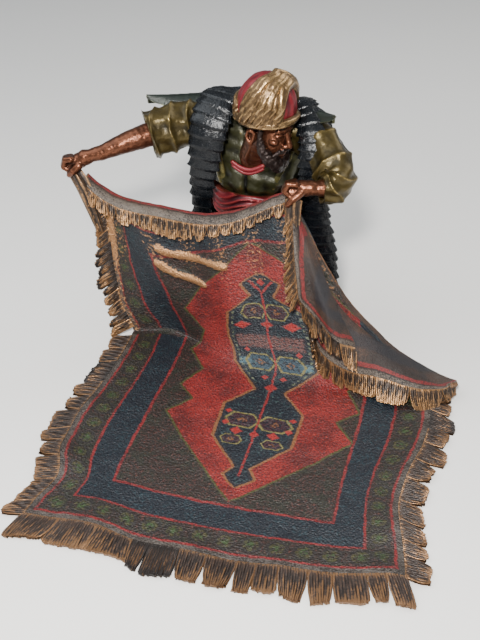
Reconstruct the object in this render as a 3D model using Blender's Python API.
"""Cold-painted bronze statuette of a kneeling carpet seller, as castings with their studs and pins."""

import math

import bmesh
import bpy
from mathutils import Matrix, Vector

MM = 0.001

# Driving dimensions, in millimetres.
CLEARANCE = 0.3             # between castings that meet
RUG_WIDTH = 191.0           # across the part of the rug that lies flat, fringe included
RUG_REACH = 119.0           # from the origin to the near hem
RUG_SPREAD = 4.0            # how far the foot of the hanging part stands out on each side
RUG_THICKNESS = 2.4
RUG_CENTRE = 10.5           # the rug's middle lies this far to the figure's left of the origin
GRIP_HEIGHT = 101.0          # where the hands hold the top edge
SAG = 18.5                  # dip of the top edge between the hands
EDGE_RIPPLE = 1.6           # height of the waves along the rug's hems
WAIST_HEIGHT = 76.0         # joint between robe and tunic
TORSO_HEIGHT = 60.0         # waist joint to the top of the back
ROBE_WALL = 3.0
CLOAK_WALL = 3.0
SLEEVE_RADIUS = 12.5
ARM_RADIUS = 6.0
SASH_WALL = 3.2
STUD_RADIUS = 2.0
PIN_RADIUS = 0.8
SEAM_PIN_RADIUS = 0.45
SEAM_PIN_LENGTH = 8.0
TIE_BOSS_RADIUS = 4.0
WING_RADII = [8.0, 6.0, 1.2]        # half breadth of the cloak's shoulder points, root to tip
TIE_SCREW_RADIUS = 1.2
TIE_RIGHT, TIE_LEFT = -10.0, 6.0    # places of the tie screws, across from the middle of the robe
TIE_UP = 0.22               # height of the tie screws, as a share of the hanging part
TIE_HEAD_ROOM = 3.5         # from the robe's inner wall to the underside of a tie screw's head
SLIPPER_RADII = [5.4, 6.2, 4.6]     # from the toes' side to the sole

# Anchor points that the castings share.
WAIST = Vector((-15.0, 80.0, WAIST_HEIGHT))
NECK = Vector((-13.0, 71.0, WAIST_HEIGHT + TORSO_HEIGHT - 25.0))
HEAD = NECK + Vector((9.5, -9.5, 19.0))
RIGHT_SHOULDER = Vector((-42.0, 76.0, WAIST_HEIGHT + TORSO_HEIGHT - 13.0))
LEFT_SHOULDER = Vector((13.0, 76.0, WAIST_HEIGHT + TORSO_HEIGHT - 13.0))
RIGHT_GRIP = Vector((-101.0, 44.0, GRIP_HEIGHT))
LEFT_GRIP = Vector((14.0, 44.0, GRIP_HEIGHT))

UP = Vector((0.0, 0.0, 1.0))
ACROSS = Vector((1.0, 0.0, 0.0))
BACK = Vector((0.0, 1.0, 0.0))
FACING = Vector((0.91, -0.42, 0.0))     # the head is turned towards the figure's left


# Materials

def bronze(name, colour, roughness, metallic):
    """A Principled material for one colour of the cold paint or for bare bronze."""
    material = bpy.data.materials.new(name)
    material.use_nodes = True
    shader = material.node_tree.nodes["Principled BSDF"]
    shader.inputs["Base Color"].default_value = (*colour, 1.0)
    shader.inputs["Roughness"].default_value = roughness
    shader.inputs["Metallic"].default_value = metallic
    return material


# Mesh helpers

def place(name, bm, material):
    """Turn a mesh in millimetres into a named object in metres."""
    bmesh.ops.recalc_face_normals(bm, faces=bm.faces)
    bmesh.ops.transform(bm, matrix=Matrix.Scale(MM, 4), verts=bm.verts)
    mesh = bpy.data.meshes.new(name)
    bm.to_mesh(mesh)
    bm.free()
    mesh.shade_smooth()
    mesh.set_sharp_from_angle(angle=math.radians(40))
    mesh.materials.append(material)
    obj = bpy.data.objects.new(name, mesh)
    bpy.context.collection.objects.link(obj)
    return obj


def section(centre, normal, half_width, half_depth, across=ACROSS):
    """Matrix of one elliptical section: its width lies along across, its plane is square to normal."""
    normal = Vector(normal).normalized()
    side = (across - normal * normal.dot(across)).normalized()
    front = normal.cross(side)
    basis = Matrix((side * half_width, front * half_depth, normal)).transposed().to_4x4()
    basis.translation = Vector(centre)
    return basis


def loft(name, sections, material, sides=20):
    """Skin a closed body over elliptical sections."""
    bm = bmesh.new()
    previous = []
    for matrix in sections:
        ring = bmesh.ops.create_circle(bm, cap_ends=False, segments=sides, radius=1.0, matrix=matrix)
        edges = list({edge for vert in ring["verts"] for edge in vert.link_edges})
        if previous:
            bmesh.ops.bridge_loops(bm, edges=previous + edges)
        previous = edges
    bmesh.ops.holes_fill(bm, edges=[edge for edge in bm.edges if edge.is_boundary], sides=0)
    return place(name, bm, material)


def upright(rows, grow=0.0):
    """Level sections from rows of centre, half width and half depth."""
    return [section(centre, UP, width + grow, depth + grow) for centre, width, depth in rows]


def along(points, radii, across=UP, flatten=1.0, grow=0.0):
    """Sections square to a path, for limbs, sleeves and pins."""
    path = [Vector(point) for point in points]
    result = []
    for index, point in enumerate(path):
        before = path[max(index - 1, 0)]
        after = path[min(index + 1, len(path) - 1)]
        radius = radii[index] + grow
        result.append(section(point, after - before, radius, radius * flatten, across))
    return result


def rod(name, start, end, radius, material, sides=16):
    """A plain round stud, pin or cutter."""
    start, end = Vector(start), Vector(end)
    across = UP if abs((end - start).normalized().z) < 0.9 else ACROSS
    return loft(name, along([start, end], [radius, radius], across), material, sides)


def hide_cutter(cutter):
    cutter.hide_render = True
    cutter.display_type = "WIRE"
    return cutter


def combine(obj, other, operation):
    """Boolean of a hidden helper on a casting."""
    hide_cutter(other)
    modifier = obj.modifiers.new(other.name, "BOOLEAN")
    modifier.operation = operation
    modifier.object = other
    return obj


def cut(obj, cutter):
    return combine(obj, cutter, "DIFFERENCE")


def join(obj, other):
    return combine(obj, other, "UNION")


def fasten(name, castings, start, end, radius, material, gap=CLEARANCE):
    """A stud or pin from start to end, and its clearance hole in each casting that it holds."""
    start, end = Vector(start), Vector(end)
    push = (end - start).normalized() * gap
    pin = rod(name, start, end, radius, material)
    for casting in castings:
        cut(casting, rod(f"{name}_hole_{casting.name}", start - push, end + push, radius + gap, material))
    return pin


# Smooth curves through a few chosen points

def through(points, t):
    """Point at t (0 to 1) on a smooth curve through evenly spaced points."""
    last = len(points) - 1
    place_on = min(max(t, 0.0), 1.0) * last
    index = min(int(place_on), last - 1)
    f = place_on - index
    p0, p1, p2, p3 = (Vector(points[min(max(index + k, 0), last)]) for k in (-1, 0, 1, 2))
    return 0.5 * (2 * p1 + (p2 - p0) * f + (2 * p0 - 5 * p1 + 4 * p2 - p3) * f * f
                  + (3 * p1 - p0 - 3 * p2 + p3) * f * f * f)


def sheet(name, surface, columns, rows, thickness, material):
    """A cast sheet: surface(u, v) gives its outer face and its inward normal."""
    bm = bmesh.new()
    bmesh.ops.create_grid(bm, x_segments=columns, y_segments=rows, size=0.5)
    outer = [(vert, vert.co.x + 0.5, vert.co.y + 0.5) for vert in bm.verts]
    ends = bmesh.ops.extrude_face_region(bm, geom=bm.faces[:])["geom"]
    inner = [item for item in ends if isinstance(item, bmesh.types.BMVert)]
    inner = [(vert, vert.co.x + 0.5, vert.co.y + 0.5) for vert in inner]
    for verts, depth in ((outer, 0.0), (inner, thickness)):
        for vert, u, v in verts:
            point, inward = surface(u, v)
            vert.co = point + inward * depth
    return place(name, bm, material)


def robe_front(x):
    """Depth of the robe's front wall at the tie screws, for one place across."""
    centre, width, depth = robe_rows()[1]
    return centre.y - depth * math.sqrt(1 - ((x - centre.x) / width) ** 2)


# The rug: three cast sheets that share their edges

def crease(u):
    """Foot of the hanging part, where the rug turns onto the floor."""
    half = RUG_WIDTH / 2 + RUG_SPREAD
    left, right = RUG_CENTRE - half, RUG_CENTRE + half
    points = [(left, 41, 0), (left + 12, 44, 0), (left + 34, 50, 0), (left + 58, 41, 0), (left + 80, 32, 0),
              (left + 98, 29, 0), (left + 118, 27, 0), (left + 150, 33, 0), (right, 41, 0)]
    return through(points, u)


def near_hem(u):
    """The hem nearest to the viewer, bowed, with its left-hand corner drawn back."""
    points = [(0, 2, 0), (0, 0, 0), (0, -1, 0), (0, -1.5, 0), (0, -1.5, 0),
              (0, -1, 0), (0, 2, 0), (0, 8, 0), (0, 18, 0)]
    return through(points, u).y - RUG_REACH


def top_edge(u):
    """Upper edge: from the right hand, sagging to the left hand, then down the folded ridge."""
    sag = GRIP_HEIGHT - SAG
    ridge = GRIP_HEIGHT - 18.0
    points = [RIGHT_GRIP + Vector((3, 0, 0)), (-84, 43, GRIP_HEIGHT - 12), (-60, 44, sag + 3), (-36, 44, sag),
              (-13, 44, sag + 7), LEFT_GRIP, (36, 42, ridge * 0.76), (68, 42, ridge * 0.32),
              (RUG_CENTRE + RUG_WIDTH / 2 + RUG_SPREAD - 1, 42, 8)]
    return through(points, u)


def floor_surface(u, v):
    """Upper face of the lying part, from the crease (v = 0) to the near hem (v = 1)."""
    rear = crease(u)
    narrowing = min(1.0, 3.0 * v) * RUG_SPREAD / (RUG_WIDTH / 2 + RUG_SPREAD)
    x = rear.x + (RUG_CENTRE - rear.x) * narrowing
    y = rear.y + (near_hem(u) - rear.y) * v
    side = max(0.0, abs(u - 0.5) * 2 - 0.86) / 0.14
    near = max(0.0, v - 0.88) / 0.12
    wave = side * (0.5 + 0.5 * math.sin(16 * v)) * min(1.0, 6 * v) + near * (0.5 + 0.5 * math.sin(19 * u))
    return Vector((x, y, RUG_THICKNESS + EDGE_RIPPLE * min(wave, 1.0))), Vector((0, 0, -1))


def hanging_surface(u, v):
    """Front face of the hanging part, from the floor (v = 0) to the top edge (v = 1)."""
    foot = crease(u) + BACK * CLEARANCE
    top = top_edge(u)
    bow = 3.0 * math.sin(math.pi * v) * math.sin(9 * u) * (1 - u)
    point = foot.lerp(top, v)
    return Vector((point.x, point.y + bow, max(point.z, 0.0))), BACK


def tie_point(across):
    """Front face of the hanging part at a tie screw, found by halving the interval that holds its place."""
    low, high = 0.0, 1.0
    for _ in range(40):
        u = (low + high) / 2
        if hanging_surface(u, TIE_UP)[0].x < WAIST.x + across:
            low = u
        else:
            high = u
    return hanging_surface(low, TIE_UP)[0]


def fold_surface(u, v):
    """Front face of the corner that falls forward, from the ridge (v = 0) to its fringe (v = 1)."""
    ridge = top_edge((5 + 3 * u) / 8)
    front = Vector((0, -(RUG_THICKNESS + 2 * CLEARANCE + 2.5), 0))
    hem_points = [(25, 33, 42), (37, 26, 31), (48, 22, 16), (66, 17, 8),
                  (86, 16, 7), (101, 22, 7), (108, 33, 7)]
    hem = through(hem_points, u)
    hem.z = 6.9 + (hem.z - 7) * GRIP_HEIGHT / 101.0
    point = (ridge + front).lerp(hem, v)
    bulge = 3.0 * math.sin(math.pi * v)
    return point + Vector((0, -bulge, 0)), BACK


def build_rug(cloth, metal):
    lying = sheet("rug_floor_panel", floor_surface, 34, 24, RUG_THICKNESS, cloth)
    hanging = sheet("rug_hanging_panel", hanging_surface, 34, 12, RUG_THICKNESS, cloth)
    fold = sheet("rug_corner_fold", fold_surface, 18, 8, RUG_THICKNESS, cloth)
    middle = Vector((0, RUG_THICKNESS / 2, 0))
    bunches = (("right", RIGHT_GRIP, Vector((5, 0, -14))), ("left", LEFT_GRIP, Vector((0, 0, -14))))
    for name, grip, drop in bunches:
        start = grip + middle
        path = [start, start + drop * 0.6, start + drop]
        join(hanging, loft(f"{name}_bunch", along(path, [3.6, 3.2, 2.0], ACROSS), cloth, 12))
    for name, across in (("right", TIE_RIGHT), ("left", TIE_LEFT)):
        start = tie_point(across) + middle
        end = Vector((start.x, robe_front(start.x) - 2.0, start.z))
        join(hanging, rod(f"{name}_tie_boss", start, end, TIE_BOSS_RADIUS, cloth))
    for number, u in enumerate((0.14, 0.4, 0.66, 0.9), start=1):
        foot = crease(u)
        start = foot + Vector((0, RUG_THICKNESS + 1.0, RUG_THICKNESS / 2))
        fasten(f"seam_pin_{number}", (lying, hanging), start, start - BACK * SEAM_PIN_LENGTH,
               SEAM_PIN_RADIUS, metal)
    return lying, hanging, fold


# The kneeling figure

def robe_rows(inset=0.0):
    x, y = WAIST.x, WAIST.y
    rows = [((x, y + 8, 0), 24, 28), ((x, y + 7, 14), 24, 27), ((x, y + 2, 32), 22.5, 21),
            ((x, y, WAIST_HEIGHT - 22), 21, 17), ((x, y, WAIST_HEIGHT - 6), 19, 13.5),
            ((x, y, WAIST_HEIGHT), 18.5, 13)]
    return [(Vector(centre), width - inset, depth - inset) for centre, width, depth in rows]


def torso_rows():
    x, y, top = WAIST.x, WAIST.y, TORSO_HEIGHT
    base = WAIST_HEIGHT + CLEARANCE
    return [((x, y, base), 18.5, 13), ((x, y, base + 12), 18.5, 13),
            ((x + 0.5, y + 1, base + 0.4 * top), 24, 15),
            ((x + 0.5, y + 3, base + 0.6 * top), 31, 15), ((x + 0.5, y + 5, base + top - 12), 33, 13.5),
            ((x + 0.5, y + 6, base + top - 5), 27, 11), ((x + 0.5, y + 7, base + top - 1), 16, 6)]


def build_robe(cloth):
    robe = loft("lower_body", upright(robe_rows()), cloth, 28)
    hollow = robe_rows(ROBE_WALL)
    low = hollow[0][0] - UP * 2
    rows = [(low, hollow[0][1], hollow[0][2])] + hollow[:-1]
    last = rows[-1]
    rows[-1] = (Vector((last[0].x, last[0].y, WAIST_HEIGHT - ROBE_WALL - 3)), last[1], last[2])
    return cut(robe, loft("robe_hollow", upright(rows), cloth, 28))


def build_slipper(side, x, robe, leather):
    """A slipper, sole to the rear, behind the kneeling knees."""
    heel = Vector((x, WAIST.y + 8 + 28, 8))
    points = [heel + Vector((0, -6, 0)), heel + Vector((0, 0, 0)), heel + Vector((0, 4, -0.5))]
    slipper = loft(f"{side}_slipper", along(points, SLIPPER_RADII, ACROSS, 1.15), leather, 16)
    pocket = along(points, SLIPPER_RADII, ACROSS, 1.15, CLEARANCE)
    cut(robe, loft(f"{side}_slipper_pocket", pocket, leather, 16))
    return slipper


def build_torso(tunic):
    torso = loft("torso", upright(torso_rows()), tunic, 28)
    for name, shoulder, outward in (("right", RIGHT_SHOULDER, -1), ("left", LEFT_SHOULDER, 1)):
        box = bmesh.new()
        bmesh.ops.create_cube(box, size=60.0, matrix=Matrix.Translation(shoulder + ACROSS * outward * 30))
        cut(torso, place(f"{name}_shoulder_face", box, tunic))
    return torso


def build_sash(cloth):
    x, y = WAIST.x, WAIST.y
    grow = CLEARANCE + SASH_WALL
    rows = [((x, y, WAIST_HEIGHT - 4), 17.5 + grow, 12 + grow),
            ((x, y, WAIST_HEIGHT - 1), 18.5 + grow, 13 + grow),
            ((x, y, WAIST_HEIGHT + 7), 18.5 + grow, 13 + grow),
            ((x, y, WAIST_HEIGHT + 10), 17 + grow, 11.5 + grow)]
    sash = loft("sash", upright(rows), cloth, 28)
    waist = robe_rows()[-3:] + torso_rows()[:4]
    return cut(sash, loft("sash_inside", upright(waist, CLEARANCE), cloth, 28))


def right_sleeve_path():
    start = RIGHT_SHOULDER - ACROSS * CLEARANCE
    return [start, start + Vector((-12, -6, -1)), start + Vector((-24, -14, -3.5))]


def left_sleeve_path():
    start = LEFT_SHOULDER + ACROSS * CLEARANCE
    cuff = LEFT_GRIP + Vector((17, 3, 8))
    elbow = start.lerp(cuff, 0.5) + Vector((10.15, 0.5, 1.0))
    forearm = elbow.lerp(cuff, 0.5) + Vector((2.35, -1.5, -1.5))
    return [start, start + Vector((9, -6, -2)), elbow, forearm, cuff]


def right_arm_path():
    sleeve = right_sleeve_path()
    wrist = RIGHT_GRIP + Vector((6, 0.5, 9.5))
    inside = sleeve[1].lerp(sleeve[2], 0.25)
    return [inside, sleeve[2], sleeve[2].lerp(wrist, 0.45) + Vector((0, -2, 1)), wrist,
            RIGHT_GRIP + Vector((0, 0, 8)), RIGHT_GRIP + Vector((-6, 0, 5.5))]


def left_arm_path():
    sleeve = left_sleeve_path()
    cuff = sleeve[-1]
    return [cuff.lerp(sleeve[-2], 0.7), cuff, LEFT_GRIP + Vector((10, 1, 7.5)),
            LEFT_GRIP + Vector((3, 0, 7.5)),
            LEFT_GRIP + Vector((-3, 0, 6.5))]


def sleeve_sections(side, grow=0.0):
    """A sleeve starts square to the tunic's flat shoulder face and narrows towards its cuff."""
    path, taper = ((right_sleeve_path(), (1, 0.98, 0.96)) if side == "right"
                   else (left_sleeve_path(), (1, 1, 0.96, 0.84, 0.7)))
    sections = along(path, [SLEEVE_RADIUS * share for share in taper], UP, 1.0, grow)
    outward = -ACROSS if side == "right" else ACROSS
    sections[0] = section(path[0], outward, SLEEVE_RADIUS + grow, SLEEVE_RADIUS + grow, UP)
    return sections


def arm_sections(side, grow=0.0):
    """A forearm that ends in a closed hand over its grip of the rug."""
    path, shares = ((right_arm_path(), (1, 1, 0.86, 0.66, 1, 0.7)) if side == "right"
                    else (left_arm_path(), (0.8, 0.8, 0.68, 0.9, 0.6)))
    return along(path, [ARM_RADIUS * share for share in shares], UP, 1.0, grow)


def build_sleeves(cloth):
    right = loft("right_sleeve", sleeve_sections("right"), cloth, 24)
    left = loft("left_sleeve", sleeve_sections("left"), cloth, 24)
    bore = ARM_RADIUS + 1.0
    for sleeve, path in ((right, right_arm_path()), (left, left_arm_path())):
        mouth = path[1] + (path[1] - path[0]).normalized() * 4
        bottom = path[0] + (path[0] - path[1]).normalized() * 1.5
        cut(sleeve, rod(f"{sleeve.name}_bore", bottom, mouth, bore, cloth, 20))
    cut(left, loft("left_arm_passage", arm_sections("left", CLEARANCE), cloth, 18))
    return right, left


def build_arms(skin):
    right = loft("right_arm", arm_sections("right"), skin, 18)
    left = loft("left_arm", arm_sections("left"), skin, 18)
    return right, left


def cloak_rows(grow):
    rows = robe_rows()[2:] + [(Vector(centre), width, depth) for centre, width, depth in torso_rows()[1:]]
    return [(centre, width + grow, depth + grow) for centre, width, depth in rows]


def cloak_height(z):
    """Height of a point of the cloak's fronts, chosen for a waist at 76 mm and a torso of 60 mm."""
    waist, torso = 76.0, 60.0
    if z <= waist:
        return z * WAIST_HEIGHT / waist
    return WAIST_HEIGHT + (z - waist) * TORSO_HEIGHT / torso


def build_cloak(cloth):
    """Back of the cloak with its shoulder points, and two fronts that hang beside the tunic."""
    inner = SASH_WALL + 2 * CLEARANCE
    outer = cloak_rows(inner + CLOAK_WALL)
    top = outer[-1][0] + UP * inner
    outer.append((top + UP * CLOAK_WALL, outer[-1][1] * 0.5, outer[-1][2] * 0.5))
    back = loft("cloak_back", upright(outer), cloth, 32)
    tips = ((RIGHT_SHOULDER + Vector((12, 12, 13)), RIGHT_SHOULDER + Vector((-29, -6, 15)), "right"),
            (LEFT_SHOULDER + Vector((-12, 12, 13)), LEFT_SHOULDER + Vector((17, -10, 15)), "left"))
    wings = [([root, root.lerp(tip, 0.6), tip], side) for root, tip, side in tips]
    for path, side in wings:
        join(back, loft(f"{side}_wing", along(path, WING_RADII, BACK, 0.2), cloth, 12))
    low = cloak_rows(inner)
    low.insert(0, (low[0][0] - UP * 5, low[0][1], low[0][2]))
    low.append((top, low[-1][1] * 0.5, low[-1][2] * 0.5))
    cut(back, loft("cloak_inside", upright(low), cloth, 32))
    front = bmesh.new()
    middle = Vector((WAIST.x, WAIST.y - 100, WAIST_HEIGHT))
    bmesh.ops.create_cube(front, size=200.0, matrix=Matrix.Translation(middle))
    cut(back, place("cloak_open_front", front, cloth))
    y = WAIST.y - CLEARANCE
    right_points = [(-27, y, 139), (-28, y - 6, 137), (-32, 62, 126),
                    (-35, 59, 107), (-38, 60, 90), (-40, 63, 70)]
    left_points = [(8, y, 139), (12, y - 6, 137), (19, 61, 127), (20, 57, 112), (21, 59, 98), (21, 64, 80),
                   (23, 69, 58), (24, 71, 36), (24, 73, 12)]
    fronts = []
    for side, points, radii in (("right", right_points, [7, 9, 10.5, 9, 6.5, 4.5]),
                                ("left", left_points, [5, 6, 6, 6, 7, 9, 11, 12, 12])):
        points = [Vector((*point[:2], cloak_height(point[2]))) for point in points]
        strip = loft(f"cloak_{side}_front", along(points, radii, ACROSS, 0.3), cloth, 16)
        behind = bmesh.new()
        middle = Vector((WAIST.x, WAIST.y - CLEARANCE + 50, WAIST_HEIGHT))
        tall = Matrix.Translation(middle) @ Matrix.Diagonal((1, 1, 2, 1))
        bmesh.ops.create_cube(behind, size=100.0, matrix=tall)
        cut(strip, place(f"cloak_{side}_seam", behind, cloth))
        for path, wing_side in wings:
            near_wing = along(path, WING_RADII, BACK, 0.2, CLEARANCE)
            cut(strip, loft(f"{wing_side}_wing_at_{side}_front", near_wing, cloth, 12))
        fronts.append(strip)
    return back, fronts[0], fronts[1]


def build_head(skin, cloth):
    rows = ((Vector((10, -5, -20)), 3, 3), (Vector((8.5, -4, -15)), 6.5, 6),
            (Vector((4.5, -2, -8)), 10.5, 9.5),
            (Vector((1.5, -1, 0)), 13, 11.5), (Vector((0, 0, 8)), 13, 12))
    head = loft("head", [section(HEAD + offset, UP, length, width, FACING) for offset, length, width in rows],
                skin, 24)
    neck = [HEAD + Vector((-3, 2, -4)), NECK + Vector((0, 0, 2)), NECK + Vector((-1, 4, -5))]
    join(head, loft("neck", along(neck, [7, 7, 7.5], ACROSS), skin, 20))
    rows = ((8 + CLEARANCE, 14, 12.8), (12, 16.2, 15), (18, 16.8, 15.5),
            (24, 13.5, 12.5), (28, 8.5, 8), (30, 3, 3))
    turban = loft("turban", [section(HEAD + Vector((-1.5, 0.5, z)), UP, length, width, FACING)
                             for z, length, width in rows], cloth, 24)
    socket = loft("neck_socket", along(neck, [7, 7, 7.5], ACROSS, 1.0, CLEARANCE), skin, 20)
    return head, turban, socket


def main():
    for obj in list(bpy.data.objects):
        bpy.data.objects.remove(obj)
    carpet = bronze("carpet_paint", (0.30, 0.04, 0.03), 0.45, 0.2)
    robe_paint = bronze("robe_paint", (0.10, 0.09, 0.03), 0.45, 0.3)
    gold_paint = bronze("sleeve_paint", (0.20, 0.15, 0.05), 0.35, 0.6)
    cloak_paint = bronze("cloak_paint", (0.02, 0.03, 0.05), 0.3, 0.2)
    red_paint = bronze("sash_paint", (0.30, 0.02, 0.03), 0.4, 0.1)
    copper = bronze("skin_bronze", (0.35, 0.14, 0.08), 0.3, 0.9)
    brass = bronze("stud_brass", (0.55, 0.38, 0.15), 0.35, 1.0)

    lying, hanging, fold = build_rug(carpet, brass)
    robe = build_robe(robe_paint)
    for side, x in (("right", WAIST.x - 12), ("left", WAIST.x + 12)):
        slipper = build_slipper(side, x, robe, copper)
        start = Vector((x, WAIST.y + 8 + 28 - 9, 8))
        fasten(f"{side}_slipper_pin", (robe, slipper), start, start + BACK * 7, PIN_RADIUS, brass)
    torso = build_torso(robe_paint)
    sash = build_sash(red_paint)
    right_sleeve, left_sleeve = build_sleeves(gold_paint)
    right_arm, left_arm = build_arms(copper)
    back, right_front, left_front = build_cloak(cloak_paint)
    head, turban, socket = build_head(copper, gold_paint)
    cut(torso, socket)

    for side in ("right", "left"):
        for casting in (back, right_front, left_front):
            name = f"{side}_sleeve_in_{casting.name}"
            cut(casting, loft(name, sleeve_sections(side, CLEARANCE), gold_paint, 24))

    waist_top = Vector((WAIST.x, WAIST.y, WAIST_HEIGHT + 16))
    waist_low = Vector((WAIST.x, WAIST.y, WAIST_HEIGHT - ROBE_WALL - 12))
    fasten("waist_stud", (robe, torso), waist_low, waist_top, STUD_RADIUS, brass)
    nut_top = Vector((WAIST.x, WAIST.y, WAIST_HEIGHT - ROBE_WALL - 3 - CLEARANCE))
    nut = rod("waist_nut", nut_top - UP * 3, nut_top, 4.6, brass, 6)
    cut(nut, rod("waist_nut_bore", nut_top - UP * 4, nut_top + UP, STUD_RADIUS + CLEARANCE, brass))

    fasten("right_shoulder_stud", (torso, right_sleeve), RIGHT_SHOULDER + ACROSS * 8,
           RIGHT_SHOULDER - ACROSS * 7, STUD_RADIUS, brass)
    fasten("left_shoulder_stud", (torso, left_sleeve), LEFT_SHOULDER - ACROSS * 8,
           LEFT_SHOULDER + ACROSS * 7, STUD_RADIUS, brass)
    fasten("neck_stud", (torso, head), NECK + Vector((-3, 7, -11)), NECK + Vector((1, -1, 6)),
           STUD_RADIUS * 0.8, brass)
    crown = HEAD + Vector((-1.5, 0.5, 8))
    fasten("turban_stud", (head, turban), crown - UP * 8, crown + UP * 10, STUD_RADIUS * 0.8, brass)
    middle = Vector((0, RUG_THICKNESS / 2, 0))
    for side, grip, arm in (("right", RIGHT_GRIP, right_arm), ("left", LEFT_GRIP, left_arm)):
        start = grip + middle
        fasten(f"{side}_hand_pin", (hanging, arm), start - UP * 6, start + UP * 10, PIN_RADIUS, brass)
    for side, across in (("right", TIE_RIGHT), ("left", TIE_LEFT)):
        foot = tie_point(across)
        start = foot + BACK * (RUG_THICKNESS + 2)
        inside = Vector((start.x, robe_front(start.x) + ROBE_WALL + TIE_HEAD_ROOM, start.z))
        screw = fasten(f"{side}_tie_screw", (hanging, robe), start, inside, TIE_SCREW_RADIUS, brass)
        join(screw, rod(f"{side}_tie_head", inside - BACK * 0.2, inside + BACK * 1.6, 2.6, brass, 12))


main()
